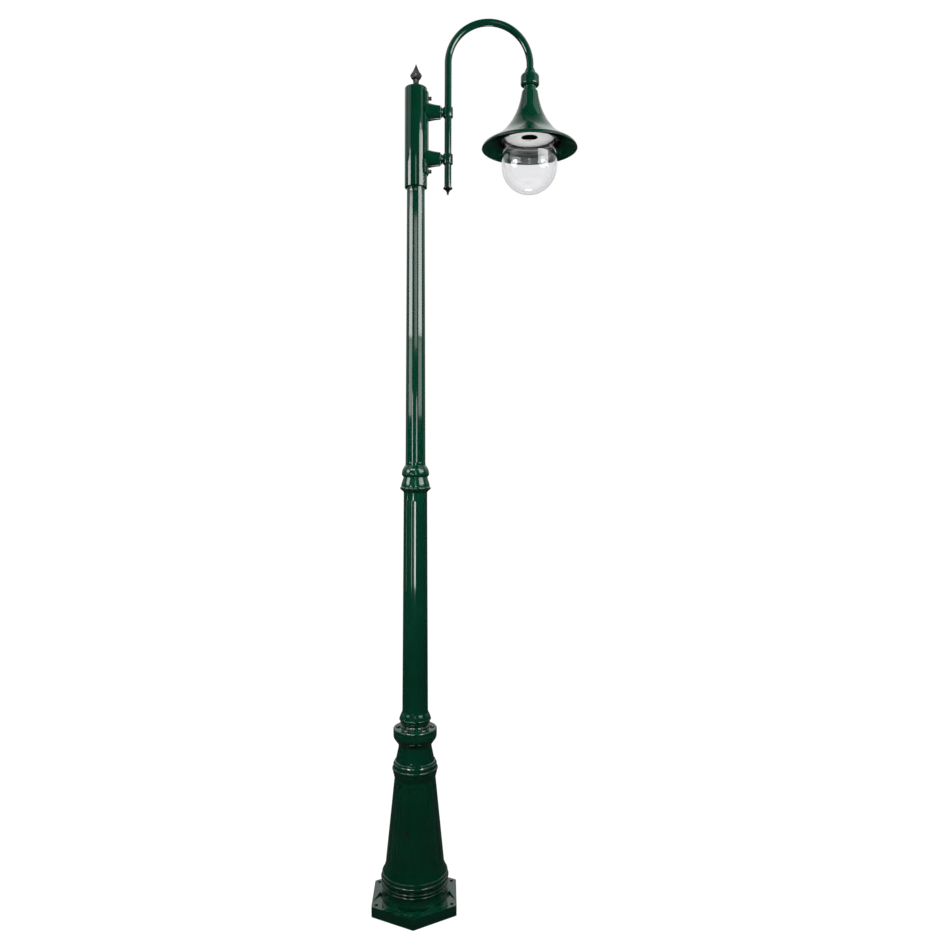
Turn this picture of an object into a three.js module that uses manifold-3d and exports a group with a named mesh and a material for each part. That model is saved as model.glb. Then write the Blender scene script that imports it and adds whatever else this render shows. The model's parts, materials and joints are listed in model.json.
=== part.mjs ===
// Street lamp post: a cast hexagonal base, two fluted post sections, a sleeve bracket that
// swivels on the post and a swan-neck arm that carries a bell shade with a clear globe.
// Millimetres, +Z up. The origin is the centre of the base's underside, on the post's axis,
// and the lamp hangs towards +X.

import * as THREE from 'three';
import { mergeVertices } from 'three/addons/utils/BufferGeometryUtils.js';
import { ConvexGeometry } from 'three/addons/geometries/ConvexGeometry.js';
import Module from 'manifold-3d';

const wasm = await Module();
wasm.setup();

// ---------------------------------------------------------------- driving dimensions

const GAP = 0.3;                 // air between separate pieces

const FOOT_R = 154.5;            // hexagonal foot, to its corners
const FOOT_H = 33.3;             // upright sides of the foot
const ROOF_RISE = 9;             // slope of the foot's top, up to the plinth
const ANCHOR_R = 6;              // ground bolt holes
const ANCHOR_PCR = 137;          // their distance from the axis
const BASE_FLUTES = 18;
const BASE_FLUTE_DEPTH = 2;
const BASE_TOP = 563 - GAP / 2;  // top of the base casting
const PLUG_Z = 260;              // blanking plug of the earth-stud hole
const PLUG_ANGLE = -111;         // its direction round the base, in degrees
const PLUG_R = 6.5;
const PLUG_FACE = 81.2;          // its outer end, from the axis

const FLANGE_R = 69.5;           // post foot flange
const FLANGE_TOP = 577;
const FOOT_SCREWS = 6;
const FOOT_SCREW_PCR = 54.5;
const FOOT_SCREW_R = 4;

const POST_FLUTES = 12;
const LOWER_FLUTE_DEPTH = 1.2;
const UPPER_FLUTE_DEPTH = 0.9;
const LOWER_R0 = 41.1;           // lower post at the top of its foot mouldings
const LOWER_R1 = 37.2;           // lower post under the collar
const LOWER_Z0 = 632;
const LOWER_TOP = 1331;
const LOWER_BORE = 27;
const COLLAR_TOP = 1417;
const UPPER_R0 = 31.8;           // upper post on the collar
const UPPER_R1 = 28.2;           // upper post where it enters the sleeve
const UPPER_BORE = 22;
const SPIGOT = 50;               // length of the collar's spigots
const CABLE_BORE = 15;
const GRUB_R = 3;                // grub screws that hold the spigots
const LOWER_GRUB_Z = LOWER_TOP - 25;
const UPPER_GRUB_Z = COLLAR_TOP + 25;

const SLEEVE_R = 35;
const SLEEVE_Z0 = 2285;
const SLEEVE_Z1 = 2593;
const SLEEVE_CAP = 12.5;
const PLATE_R = 40;              // outer face of the saddle plate
const PLATE_Z0 = 2325;
const PLATE_Z1 = 2580;
const BOLT_R = 3;                // saddle bolts, M6
const BOLT_ZS = { upper: 2561, lower: 2336 };
const ARM_ZS = { upper: 2519, lower: 2375 };
const ARM_R = 28;                // bracket arms at the plate
const ARM_END = 77;
const STUD_R = 5;                // the clamp ring's stud in the arm

const TUBE_X = 100;              // upright leg of the swan neck
const TUBE_R = 11;
const TUBE_BORE = 8.5;
const LAMP_X = 356;              // lamp axis
const BEND_Z = 2670;             // where the upright ends and the bend starts
const TUBE_Z0 = 2287.3;
const TUBE_END = 2643;
const RING_R = 15.5;
const RING_H = 30;

const SHADE_R = 150;
const SHADE_RIM = 2411;
const SHADE_TOP = 2591;
const SHADE_WALL = 2;
const DISC_Z = 2446;             // underside of the reflector disc
const SOCKET_HOLE = 26;
const GLOBE_R = 87;
const GLOBE_Z = 2359;            // centre of the globe's round end
const GLOBE_WALL = 3;
const NECK_R = 82.5;
const NIPPLE_R = 5;
const GALLERY_SCREW_X = 92;

// ---------------------------------------------------------------- materials

function finish(color, roughness, metalness, opacity = 1) {
  const transparent = opacity < 1;
  return new THREE.MeshStandardMaterial({ color, roughness, metalness, transparent, opacity });
}

const paint = finish(0x0a3f2c, 0.25, 0.1);
const black = finish(0x1e1e22, 0.4, 0.2);
const steel = finish(0x6f7276, 0.4, 0.9);
const white = finish(0xe9e7e0, 0.5, 0);
const bakelite = finish(0x161412, 0.45, 0);
const brass = finish(0xb08a3e, 0.35, 0.9);
const rubber = finish(0x202020, 0.8, 0);
const glass = finish(0xeef4f6, 0.05, 0, 0.3);

// ---------------------------------------------------------------- solids

const radians = THREE.MathUtils.degToRad;

function signedVolume(position, index) {
  const [a, b, c] = [new THREE.Vector3(), new THREE.Vector3(), new THREE.Vector3()];
  let sum = 0;
  for (let i = 0; i < index.length; i += 3) {
    a.fromBufferAttribute(position, index[i]);
    b.fromBufferAttribute(position, index[i + 1]);
    c.fromBufferAttribute(position, index[i + 2]);
    sum += a.dot(b.cross(c)) / 6;
  }
  return sum;
}

// A closed geometry becomes a solid, with its vertices merged and its faces turned outward.
function solid(geometry) {
  geometry.deleteAttribute('normal');
  geometry.deleteAttribute('uv');
  const merged = mergeVertices(geometry, 1e-3);
  const position = merged.getAttribute('position');
  let index = [];
  for (let i = 0; i < merged.index.count; i += 3) {
    const [a, b, c] = [0, 1, 2].map((k) => merged.index.getX(i + k));
    if (a !== b && b !== c && c !== a) index.push(a, b, c);
  }
  if (signedVolume(position, index) < 0) index = index.reverse();
  return new wasm.Manifold(new wasm.Mesh({
    numProp: 3,
    vertProperties: new Float32Array(position.array),
    triVerts: new Uint32Array(index),
  }));
}

// Turns a profile of [radius, height] points round Z. A profile off the axis closes on itself.
function turn(profile, segments = 48) {
  const closed = profile[0][0] > 0 ? [...profile, profile[0]] : profile;
  const points = closed.map(([r, z]) => new THREE.Vector2(r, z));
  return solid(new THREE.LatheGeometry(points, segments).rotateX(Math.PI / 2));
}

const rod = (r, z0, z1, segments = 16) => turn([[0, z0], [r, z0], [r, z1], [0, z1]], segments);
const pipe = (bore, r, z0, z1, segments = 16) => turn([[bore, z0], [r, z0], [r, z1], [bore, z1]], segments);

function box(x0, x1, y0, y1, z0, z1) {
  const size = [x1 - x0, y1 - y0, z1 - z0];
  return solid(new THREE.BoxGeometry(...size).translate((x0 + x1) / 2, (y0 + y1) / 2, (z0 + z1) / 2));
}

// A six-sided prism or frustum with one corner towards -Y.
function hexagon(r0, r1, z0, z1) {
  const prism = new THREE.CylinderGeometry(r1, r0, z1 - z0, 6).rotateX(Math.PI / 2);
  return solid(prism.translate(0, 0, (z0 + z1) / 2));
}

// Lays a solid that was made along Z down along +X.
const alongX = (body) => body.rotate([0, 90, 0]);
const around = (body, degrees) => body.rotate([0, 0, degrees]);
const union = (bodies) => bodies.reduce((sum, body) => sum.add(body));

// Points of a circular arc in a [radius, height] profile, angles in degrees from +radius.
function arc(r, z, radius, from, to, steps) {
  return Array.from({ length: steps + 1 }, (_, i) => {
    const angle = radians(from + ((to - from) * i) / steps);
    return [r + radius * Math.cos(angle), z + radius * Math.sin(angle)];
  });
}

function bend(start, control, end, steps) {
  const [a, b, c] = [start, control, end].map(([r, z]) => new THREE.Vector2(r, z));
  return new THREE.QuadraticBezierCurve(a, b, c).getPoints(steps).map((p) => [p.x, p.y]);
}

// Cuts round-ended flutes, evenly spaced, into a tapered shaft.
// low and high are { z, r, width } at the two ends of a flute; depth is its greatest depth.
function flute(shaft, low, high, depth, count, phase) {
  const bow = ({ width }) => (width * width / 4 + depth * depth) / (2 * depth);
  const [r0, r1] = [bow(low), bow(high)];
  const length = high.z - low.z - (low.width + high.width) / 2;
  const ends = [...arc(0, 0, r0, -90, 0, 3), ...arc(0, length, r1, 0, 90, 3)];
  ends[0][0] = 0;
  ends[ends.length - 1][0] = 0;
  const lean = -THREE.MathUtils.radToDeg(Math.atan((low.r + r0 - high.r - r1) / (high.z - low.z)));
  const start = [low.r + r0 - depth, 0, low.z + low.width / 2];
  const cutter = turn(ends, 12).rotate([0, lean, 0]).translate(start);
  const cuts = Array.from({ length: count }, (_, i) => around(cutter, phase + (360 * i) / count));
  return shaft.subtract(union(cuts));
}

// ---------------------------------------------------------------- assembly

const lamp = new THREE.Group();

function add(name, body, material) {
  const { vertProperties, triVerts } = body.getMesh();
  const geometry = new THREE.BufferGeometry();
  geometry.setAttribute('position', new THREE.BufferAttribute(new Float32Array(vertProperties), 3));
  geometry.setIndex([...triVerts]);
  geometry.computeVertexNormals();
  const mesh = new THREE.Mesh(geometry, material);
  mesh.name = name;
  lamp.add(mesh);
}

// A pan-head screw standing on z, its shank pointing down.
function screw(headR, headH, shankR, length, z, sides = 12) {
  const top = z + headH;
  const head = turn([[0, z], [headR, z], [headR, z + headH * 0.7], [headR * 0.7, top], [0, top]], sides);
  return head.add(rod(shankR, z - length, z + headH / 2, 8));
}

// ---------------------------------------------------------------- base

function baseCasting() {
  const corners = Array.from({ length: 6 }, (_, i) => -90 + 60 * i);
  const plate = hexagon(FOOT_R, FOOT_R, 0, FOOT_H);
  const roof = hexagon(FOOT_R - 2, FOOT_R - 28, FOOT_H - 1, FOOT_H + ROOF_RISE);
  // A wedge-shaped recess with sloping walls round each ground bolt.
  const plan = [[100, 44], [146, 19], [162, 11]];
  const wallFlare = 9;
  const wedge = (z, flare) => plan.flatMap(
    ([u, v]) => [v + flare, -v - flare].map((side) => new THREE.Vector3(u, side, z)),
  );
  const top = FOOT_H + ROOF_RISE + 2;
  const recess = solid(new ConvexGeometry([...wedge(FOOT_H, 0), ...wedge(top, wallFlare)]));
  const hole = rod(ANCHOR_R, -1, FOOT_H + 1, 12).translate([ANCHOR_PCR, 0, 0]);
  const foot = plate
    .add(roof.subtract(union(corners.map((a) => around(recess, a)))))
    .subtract(union(corners.map((a) => around(hole, a))));

  const pedestal = turn([
    [0, 10], [107, 10], [107, 42], [103, 50], [103, 65],
    [105.6, 68], [103, 72], [106.6, 79], [103.4, 83],
    ...arc(101.5, 95.5, 7, -55, 60, 3),
    [105, 112], [102.6, 113], [99.6, 121.5], [94.1, 135.5],
    [66.4, 410], [65.2, 414], [67.2, 421], [70.4, 434],
    ...arc(67, 445.5, 6, -40, 55, 2),
    [69.4, 462], [65.8, 468], [62, 471], [59.8, 482], [52.9, 515],
    [52.9, 521], ...bend([54, 525], [66, 539], [FLANGE_R, 554], 3),
    [FLANGE_R, BASE_TOP], [0, BASE_TOP],
  ], 36);
  const cavity = turn([
    [0, -1], [94, -1], [94, 60], [85, 130], [57.5, 410], [53, 465], [44, 515], [44, 551],
    [30, 551], [30, BASE_TOP + 1], [0, BASE_TOP + 1],
  ], 20);
  const low = { z: 158, r: 91.9, width: 24 };
  const high = { z: 403, r: 67.1, width: 17 };
  const fluted = flute(pedestal, low, high, BASE_FLUTE_DEPTH, BASE_FLUTES, -90);
  const screwHole = rod(FOOT_SCREW_R + GAP, 545, BASE_TOP + 1, 10);
  const plugHole = around(alongX(rod(PLUG_R, 55, 120, 12)).translate([0, 0, PLUG_Z]), PLUG_ANGLE);
  return foot.add(fluted).subtract(cavity).subtract(flangeCircle(screwHole)).subtract(plugHole);
}

// One copy of the body at each flange screw.
function flangeCircle(body) {
  const first = body.translate([FOOT_SCREW_PCR, 0, 0]);
  return union(Array.from({ length: FOOT_SCREWS }, (_, i) => around(first, (360 * i) / FOOT_SCREWS)));
}

function basePlug() {
  const plug = rod(PLUG_R - GAP, PLUG_FACE - 11.2, PLUG_FACE, 12);
  return around(alongX(plug).translate([0, 0, PLUG_Z]), PLUG_ANGLE);
}

add('base_casting', baseCasting(), paint);
add('base_plug', basePlug(), rubber);

// ---------------------------------------------------------------- posts

function lowerPost() {
  const bottom = BASE_TOP + GAP;
  const shaft = turn([
    [LOWER_BORE, bottom], [FLANGE_R, bottom], [FLANGE_R, FLANGE_TOP - 3], [FLANGE_R - 2, FLANGE_TOP - 0.5],
    [FLANGE_R - 5, FLANGE_TOP], [46.5, FLANGE_TOP], [46.5, 582], [42.4, 586],
    ...bend([43.5, 590], [47, 592], [47.6, 596], 2), [46.9, 599], ...arc(47.7, 605, 3.2, -60, 55, 3),
    ...bend([49, 611], [46.2, 620], [42.2, 626.5], 2), [LOWER_R0, LOWER_Z0],
    [LOWER_R1, LOWER_TOP - GAP], [LOWER_BORE, LOWER_TOP - GAP],
  ], 24);
  const low = { z: 652, r: 41, width: 15 };
  const high = { z: 1308, r: 37.3, width: 14 };
  const fluted = flute(shaft, low, high, LOWER_FLUTE_DEPTH, POST_FLUTES, -96);
  const hole = rod(FOOT_SCREW_R + GAP, bottom - 1, FLANGE_TOP + 1, 10);
  return fluted.subtract(flangeCircle(hole)).subtract(grubHole(LOWER_GRUB_Z, LOWER_R1));
}

// The hole of a grub screw that bears on a spigot, on the side away from -Y.
const atBack = (body, z) => around(alongX(body).translate([0, 0, z]), 90);
const grubHole = (z, r) => atBack(rod(GRUB_R, r - 14, r + 3, 10), z);
const grubScrew = (z, bore, r) => atBack(rod(GRUB_R - GAP, bore + 0.2, r - 3, 10), z);

function midCollar() {
  return turn([
    [CABLE_BORE, LOWER_TOP - SPIGOT], [LOWER_BORE - GAP, LOWER_TOP - SPIGOT],
    [LOWER_BORE - GAP, LOWER_TOP], [37.6, LOWER_TOP], [40.5, LOWER_TOP + 4],
    ...arc(43.2, 1344, 5.4, -60, 70, 3), [44.2, 1358], [38.6, 1376], [37.6, 1379.3], [41.6, 1384],
    ...bend([43.2, 1388], [43.4, 1404], [32.2, 1416.4], 4), [32, COLLAR_TOP],
    [UPPER_BORE - GAP, COLLAR_TOP], [UPPER_BORE - GAP, COLLAR_TOP + SPIGOT],
    [CABLE_BORE, COLLAR_TOP + SPIGOT],
  ], 28);
}

function upperPost() {
  const shaft = turn([
    [UPPER_BORE, COLLAR_TOP + GAP], [UPPER_R0, COLLAR_TOP + GAP], [UPPER_R1, SLEEVE_Z0],
    [UPPER_R1, SLEEVE_Z1 - SLEEVE_CAP - GAP], [UPPER_BORE, SLEEVE_Z1 - SLEEVE_CAP - GAP],
  ], 24);
  const low = { z: 1423, r: 31.7, width: 12.5 };
  const high = { z: 2276, r: 28.2, width: 11.4 };
  const fluted = flute(shaft, low, high, UPPER_FLUTE_DEPTH, POST_FLUTES, -90);
  return fluted.subtract(grubHole(UPPER_GRUB_Z, UPPER_R0));
}

add('lower_post', lowerPost(), paint);
add('mid_collar', midCollar(), paint);
add('upper_post', upperPost(), paint);
add('collar_grub_lower', grubScrew(LOWER_GRUB_Z, LOWER_BORE, LOWER_R1), steel);
add('collar_grub_upper', grubScrew(UPPER_GRUB_Z, UPPER_BORE, UPPER_R0), steel);
for (let i = 0; i < FOOT_SCREWS; i += 1) {
  const body = screw(7, 4.4, FOOT_SCREW_R, 30, FLANGE_TOP + GAP).translate([FOOT_SCREW_PCR, 0, 0]);
  add(`foot_screw_${i + 1}`, around(body, (360 * i) / FOOT_SCREWS), steel);
}

// ---------------------------------------------------------------- sleeve bracket

const boltHole = (z) => alongX(rod(BOLT_R + GAP, 20, 50, 16)).translate([0, 0, z]);
const boltHoles = () => union(Object.values(BOLT_ZS).map(boltHole));

function bracketSleeve() {
  const bore = UPPER_R1 + 0.6;
  return turn([
    [bore, SLEEVE_Z0], [SLEEVE_R, SLEEVE_Z0], ...arc(SLEEVE_R - 5, SLEEVE_Z1 - 5, 5, 0, 90, 3),
    [4.3, SLEEVE_Z1], [4.3, SLEEVE_Z1 - SLEEVE_CAP], [bore, SLEEVE_Z1 - SLEEVE_CAP],
  ], 28).subtract(boltHoles());
}

function saddlePlate() {
  const bore = SLEEVE_R + GAP;
  const ring = turn([
    [bore, PLATE_Z0], [PLATE_R - 2, PLATE_Z0], [PLATE_R, PLATE_Z0 + 3],
    [PLATE_R, PLATE_Z1 - 3], [PLATE_R - 2, PLATE_Z1], [bore, PLATE_Z1],
  ], 48);
  return ring.intersect(box(27, 50, -27.5, 27.5, PLATE_Z0 - 1, PLATE_Z1 + 1)).subtract(boltHoles());
}

// A cone that is saddled onto the plate and tapped for the clamp ring's stud.
function bracketArm(z) {
  const cone = alongX(turn([
    [0, 20], [ARM_R + 2, 20], ...bend([ARM_R + 1, 32], [23.5, 50], [21, ARM_END - 4], 3),
    [18, ARM_END], [STUD_R + GAP, ARM_END], [STUD_R + GAP, ARM_END - 16], [0, ARM_END - 16],
  ], 24)).translate([0, 0, z]);
  return cone.subtract(rod(PLATE_R + 0.5, z - 50, z + 50, 36));
}

function clampRing(z) {
  const bore = TUBE_R + GAP;
  const stub = alongX(turn([
    [0, ARM_END - 15], [STUD_R, ARM_END - 15], [STUD_R, ARM_END + GAP], [16.5, ARM_END + GAP],
    [16.5, ARM_END + 2.5], [13, ARM_END + 5], [13, ARM_END + 12], [0, ARM_END + 12],
  ], 16)).translate([0, 0, z]);
  const ring = turn([
    [0, z - RING_H / 2], [RING_R - 1.5, z - RING_H / 2], [RING_R, z - RING_H / 2 + 1.5],
    [RING_R, z + RING_H / 2 - 1.5], [RING_R - 1.5, z + RING_H / 2], [0, z + RING_H / 2],
  ], 20).translate([TUBE_X, 0, 0]);
  const passage = rod(bore, z - RING_H, z + RING_H, 16).translate([TUBE_X, 0, 0]);
  const tapping = rod(2.7, 5, 20, 10).rotate([-90, 0, 0]).translate([TUBE_X, 0, z]);
  return ring.add(stub).subtract(passage).subtract(tapping);
}

function clampScrew(z) {
  return rod(2.4, TUBE_R + 0.4, RING_R + 0.6, 10).rotate([-90, 0, 0]).translate([TUBE_X, 0, z]);
}

function saddleBolt(z) {
  const seat = PLATE_R + 1.9;
  const bolt = rod(BOLT_R, UPPER_R1 + 0.7, seat + 2, 16).add(rod(5.8, seat, seat + 6.8, 6));
  return alongX(bolt).translate([0, 0, z]);
}

function saddleWasher(z) {
  return alongX(pipe(BOLT_R + GAP, 6.6, PLATE_R + GAP, PLATE_R + 1.6)).translate([0, 0, z]);
}

// A four-sided spear on a round foot, with a stud through the sleeve's cap.
function topFinial() {
  const spear = turn([
    [0, 2606], [9, 2606], [9, 2612], [10.6, 2617], [14.1, 2620], [16.1, 2624], [19, 2630],
    [16.1, 2636], ...bend([11.2, 2642], [6, 2651], [0, 2667], 4),
  ], 4);
  const foot = turn([
    [0, SLEEVE_Z1 + GAP], [15, SLEEVE_Z1 + GAP], [15, SLEEVE_Z1 + 3],
    ...bend([13.5, SLEEVE_Z1 + 5], [8, 2600], [7, 2607], 3), [0, 2607],
  ], 20);
  return spear.add(foot).add(rod(4, SLEEVE_Z1 - SLEEVE_CAP - 9, SLEEVE_Z1 + 2, 16));
}

const hexNut = (bore, r, z0, z1) => rod(r, z0, z1, 6).subtract(rod(bore, z0 - 1, z1 + 1));
const finialNut = () => hexNut(4.4, 7.5, SLEEVE_Z1 - SLEEVE_CAP - 6.8, SLEEVE_Z1 - SLEEVE_CAP - GAP);

add('bracket_sleeve', bracketSleeve(), paint);
add('saddle_plate', saddlePlate(), paint);
add('top_finial', topFinial(), black);
add('finial_nut', finialNut(), steel);
for (const side of ['upper', 'lower']) {
  add(`saddle_bolt_${side}`, saddleBolt(BOLT_ZS[side]), steel);
  add(`saddle_washer_${side}`, saddleWasher(BOLT_ZS[side]), steel);
  add(`bracket_arm_${side}`, bracketArm(ARM_ZS[side]), paint);
  add(`clamp_ring_${side}`, clampRing(ARM_ZS[side]), paint);
  add(`clamp_screw_${side}`, clampScrew(ARM_ZS[side]), steel);
}

// ---------------------------------------------------------------- swan neck

function swanNeck() {
  const radius = (LAMP_X - TUBE_X) / 2;
  const path = new THREE.CurvePath();
  const point = (x, z) => new THREE.Vector3(x, 0, z);
  path.add(new THREE.LineCurve3(point(TUBE_X, TUBE_Z0), point(TUBE_X, BEND_Z)));
  // Two quarter turns, each a cubic that follows the circle.
  const reach = radius * 0.5523;
  const crown = point(TUBE_X + radius, BEND_Z + radius);
  path.add(new THREE.CubicBezierCurve3(
    point(TUBE_X, BEND_Z), point(TUBE_X, BEND_Z + reach), point(crown.x - reach, crown.z), crown,
  ));
  path.add(new THREE.CubicBezierCurve3(
    crown, point(crown.x + reach, crown.z), point(LAMP_X, BEND_Z + reach), point(LAMP_X, BEND_Z),
  ));
  path.add(new THREE.LineCurve3(point(LAMP_X, BEND_Z), point(LAMP_X, TUBE_END)));
  const section = new THREE.Shape().absarc(0, 0, TUBE_R, 0, 2 * Math.PI);
  section.holes.push(new THREE.Path().absarc(0, 0, TUBE_BORE, 0, 2 * Math.PI));
  return solid(new THREE.ExtrudeGeometry(section, { steps: 32, curveSegments: 6, extrudePath: path }));
}

function lowerFinial() {
  const top = TUBE_Z0 - GAP;
  return turn([
    ...arc(0, top - 18.6, 3.6, -90, 40, 3), [3.9, top - 15],
    ...bend([4, top - 14.5], [6, top - 8], [13, top - 4.2], 3), [14.5, top - 3.4], [14.5, top],
    [TUBE_BORE - GAP, top], [TUBE_BORE - GAP, top + 18], [0, top + 18],
  ].map(([r, z], i) => [i === 0 ? 0 : r, z]), 20).translate([TUBE_X, 0, 0]);
}

add('swan_neck', swanNeck(), paint);
add('lower_finial', lowerFinial(), black);

// ---------------------------------------------------------------- lamp head, on the lamp axis

const hang = (body) => body.translate([LAMP_X, 0, 0]);

const couplingNut = () => turn([
  [TUBE_R + GAP, 2647.4], [16.6, 2647.4], [16.6, 2651], [14, 2655.5], [14, 2658], [TUBE_R + GAP, 2658],
], 24);

const ballCoupling = () => turn([
  [NIPPLE_R + GAP, 2604.3], ...arc(21.2, 2612.3, 8, -90, 0, 2), ...arc(16, 2631, 13.1, 0, 80, 3),
  [17, 2647.1], [TUBE_R + GAP, 2647.1], [TUBE_R + GAP, 2639], [15, 2639], [23.5, 2632], [23.5, 2613],
  [20, 2609], [NIPPLE_R + GAP, 2609],
], 24);

const shadeNeck = () => turn([
  [NIPPLE_R + GAP, SHADE_TOP + GAP], [19.6, SHADE_TOP + GAP], [19.6, 2595], [18.8, 2597], [18.8, 2602],
  [20, 2604], [NIPPLE_R + GAP, 2604],
], 24);

// The bell's outer curve from its shoulder to its rim, as [radius, height].
function bellCurve() {
  const knots = [
    [25, 2588], [28.3, 2570], [33.2, 2550], [40, 2530], [49.5, 2510], [61.6, 2490], [85.6, 2461],
    [114.5, 2439], [135, 2427], [146, 2419.5], [SHADE_R, SHADE_RIM],
  ].map(([r, z]) => new THREE.Vector2(r, z));
  return new THREE.SplineCurve(knots);
}

function shade() {
  const curve = bellCurve();
  const steps = 12;
  const outer = [];
  const inner = [];
  for (let i = 0; i <= steps; i += 1) {
    const p = curve.getPoint(i / steps);
    const t = curve.getTangent(i / steps);
    outer.push([p.x, p.y]);
    inner.unshift([p.x + t.y * SHADE_WALL, p.y - t.x * SHADE_WALL]);
  }
  inner[0] = [SHADE_R - SHADE_WALL, SHADE_RIM];
  const bore = NIPPLE_R + GAP;
  const crown = SHADE_TOP - SHADE_WALL;
  return turn([[bore, SHADE_TOP], [22, SHADE_TOP], ...outer, ...inner, [21.5, crown], [bore, crown]], 32);
}

const nipple = () => pipe(3.4, NIPPLE_R, 2497, 2617, 16);
const nippleNutUpper = () => hexNut(NIPPLE_R + 0.4, 9.5, 2609.4, 2614.4);
const nippleNutLower = () => hexNut(NIPPLE_R + 0.4, 9.5, 2583.4, 2588.6);

const galleryHoles = (z0, z1) => union(
  [-GALLERY_SCREW_X, GALLERY_SCREW_X].map((x) => rod(2.3, z0, z1, 12).translate([x, 0, 0])),
);

// A bent strap that hangs on the nipple and carries the reflector and gallery at its feet.
function lampholderBracket() {
  const gauge = 1.5;
  const low = DISC_Z + 1.5 + GAP;
  const half = [[0, 2513], [25, 2513], [31, 2470], [40, low + gauge], [94, low + gauge]];
  const back = [[94, low], [39, low], [29.5, 2470], [23.7, 2513 - gauge], [0, 2513 - gauge]];
  const right = [...half, ...back];
  const left = [...right].reverse().map(([x, z]) => [-x, z]);
  const outline = new THREE.Shape([...right, ...left].map(([x, z]) => new THREE.Vector2(x, z)));
  const strap = new THREE.ExtrudeGeometry(outline, { depth: 14, bevelEnabled: false });
  return solid(strap.rotateX(Math.PI / 2).translate(0, 7, 0))
    .subtract(rod(NIPPLE_R + GAP, 2505, 2520, 16)).subtract(galleryHoles(low - 2, low + 4));
}

const lampholderBody = () => turn([
  [NIPPLE_R + GAP, 2505], [17, 2505], [21, 2501], [22.5, 2494], [24, 2490], [24, 2463], [14.6, 2463],
  [14.6, 2491], [NIPPLE_R + GAP, 2491],
], 24);

const lampholderShell = () => pipe(13.4, 14.3, 2466, 2488);

const lampholderContact = () => box(-2.5, 12, -2.5, 2.5, 2482.5, 2484)
  .add(box(9, 12, -2.5, 2.5, 2483.5, 2490.7));

// Outer skirt, top plate and inner collar; the collar holds the globe's screwed neck.
function galleryRing() {
  const top = DISC_Z - GAP;
  return turn([
    [85.8, 2433], [88, 2433], [88, top - 2], [97.6, top - 2],
    [97.6, 2427], [99.4, 2427], [99.4, top], [85.8, top],
  ], 24).subtract(galleryHoles(top - 4, top + 2));
}

function reflectorDisc() {
  return pipe(SOCKET_HOLE, 95, DISC_Z, DISC_Z + 1.5, 24).subtract(galleryHoles(DISC_Z - 1, DISC_Z + 3));
}

function galleryScrew(x) {
  return screw(3.4, 2.6, 2, 6.2, 0, 12).rotate([180, 0, 0]).translate([x, 0, DISC_Z - 2.6]);
}

const globeGasket = () => pipe(77.5, 84.5, 2441.4, DISC_Z - 0.7, 24);

function globe() {
  const inner = GLOBE_R - GLOBE_WALL;
  const neckIn = NECK_R - GLOBE_WALL;
  const end = arc(0, GLOBE_Z, GLOBE_R, -90, 0, 6);
  const hollow = arc(0, GLOBE_Z, inner, 0, -90, 6);
  end[0][0] = 0;
  hollow[hollow.length - 1][0] = 0;
  return turn([
    ...end, ...bend([GLOBE_R, 2386], [GLOBE_R, 2398], [NECK_R, 2411], 2), [NECK_R, 2434],
    [84.4, 2435.2], [84.4, 2437.4], [NECK_R, 2438.6], [NECK_R, 2441], [neckIn, 2441],
    ...bend([neckIn, 2411], [inner, 2398], [inner, 2386], 2), ...hollow,
  ], 28);
}

function terminalBlock() {
  const wells = [-7, 7].map((x) => rod(2.8, DISC_Z + 8, DISC_Z + 16, 16).translate([x, 53, 0]));
  return box(-14, 14, 46, 60, DISC_Z + 1.8, DISC_Z + 14).subtract(union(wells));
}
const terminalScrew = (x) => rod(2.5, DISC_Z + 8.4, DISC_Z + 13, 16).translate([x, 53, 0]);

add('coupling_nut', hang(couplingNut()), paint);
add('ball_coupling', hang(ballCoupling()), paint);
add('shade_neck', hang(shadeNeck()), paint);
add('shade', hang(shade()), paint);
add('nipple', hang(nipple()), steel);
add('nipple_nut_upper', hang(nippleNutUpper()), steel);
add('nipple_nut_lower', hang(nippleNutLower()), steel);
add('lampholder_bracket', hang(lampholderBracket()), steel);
add('lampholder_body', hang(lampholderBody()), bakelite);
add('lampholder_shell', hang(lampholderShell()), brass);
add('lampholder_contact', hang(lampholderContact()), brass);
add('gallery_ring', hang(galleryRing()), black);
add('reflector_disc', hang(reflectorDisc()), white);
add('gallery_screw_left', hang(galleryScrew(-GALLERY_SCREW_X)), steel);
add('gallery_screw_right', hang(galleryScrew(GALLERY_SCREW_X)), steel);
add('globe_gasket', hang(globeGasket()), rubber);
add('globe', hang(globe()), glass);
add('terminal_block', hang(terminalBlock()), bakelite);
add('terminal_screw_1', hang(terminalScrew(-7)), brass);
add('terminal_screw_2', hang(terminalScrew(7)), brass);

export default lamp;
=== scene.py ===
"""Street lamp post: the looks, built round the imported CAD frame.
Lengths are millimetres, and metres for the lights and the stage."""
import json
import math

import bmesh
import bpy
import numpy as np
from mathutils import Matrix, Vector


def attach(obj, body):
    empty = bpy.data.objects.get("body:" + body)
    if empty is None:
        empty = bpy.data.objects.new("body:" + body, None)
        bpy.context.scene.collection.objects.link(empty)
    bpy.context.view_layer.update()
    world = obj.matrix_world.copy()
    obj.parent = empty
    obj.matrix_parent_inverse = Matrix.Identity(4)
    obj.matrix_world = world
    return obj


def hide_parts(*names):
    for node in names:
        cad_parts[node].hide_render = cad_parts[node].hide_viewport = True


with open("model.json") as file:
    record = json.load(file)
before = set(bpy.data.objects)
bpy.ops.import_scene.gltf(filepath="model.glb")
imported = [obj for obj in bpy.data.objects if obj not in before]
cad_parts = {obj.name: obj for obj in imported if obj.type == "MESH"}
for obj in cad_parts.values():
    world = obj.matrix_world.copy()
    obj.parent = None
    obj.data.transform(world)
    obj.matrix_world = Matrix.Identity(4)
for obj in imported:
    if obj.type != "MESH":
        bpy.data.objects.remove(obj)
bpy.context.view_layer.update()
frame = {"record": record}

MM = 0.001
TAU = 2 * math.pi

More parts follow.
